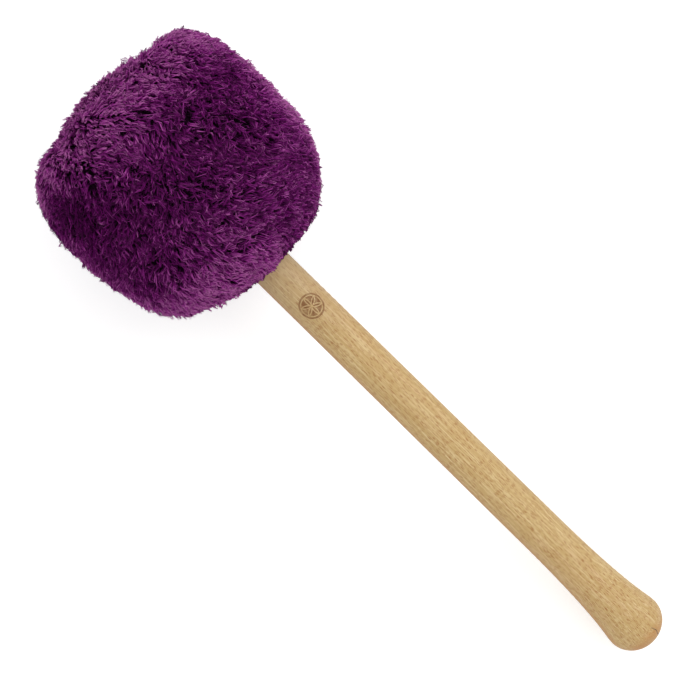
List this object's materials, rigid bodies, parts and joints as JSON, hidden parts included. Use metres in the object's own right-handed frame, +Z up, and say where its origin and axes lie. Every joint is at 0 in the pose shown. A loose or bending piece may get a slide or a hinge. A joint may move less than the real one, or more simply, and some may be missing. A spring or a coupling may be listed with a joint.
{
  "type": "gong mallet",
  "caption": "Large gong mallet: a padded barrel head in long-pile fleece, drawn in round a turned beech handle with a flared, domed butt.",
  "frame": {"origin": "centre of the footprint on the surface that the mallet lies on, at the middle of its length and width", "axes": "+Z up from the surface, +X along the mallet from the striking end of the head towards the butt, seen from above, +Y across it; the mallet's own axis falls about 8 degrees towards the butt"},
  "size_m": [0.3968, 0.1262, 0.1292],
  "materials": {
    "beech": "turned, sanded and oiled beech with short dark flecks",
    "fleece": "purple long-pile fleece, pile about 5 mm",
    "core_wood": "turned hardwood, unfinished",
    "felt": "pressed wool felt, natural",
    "wadding": "soft white wadding",
    "steel": "bright zinc-plated steel",
    "thread": "purple sewing thread and cord"
  },
  "bodies": {
    "root": {"handle": "beech", "core": "core_wood", "core_washer": "steel", "core_screw": "steel", "felt_wrap": "felt", "front_pad": "felt", "rear_pad": "felt", "padding": "wadding", "cover_side": "fleece", "cover_end": "fleece", "draw_cord": "thread", "seam_thread": "thread"}
  },
  "joints": []
}
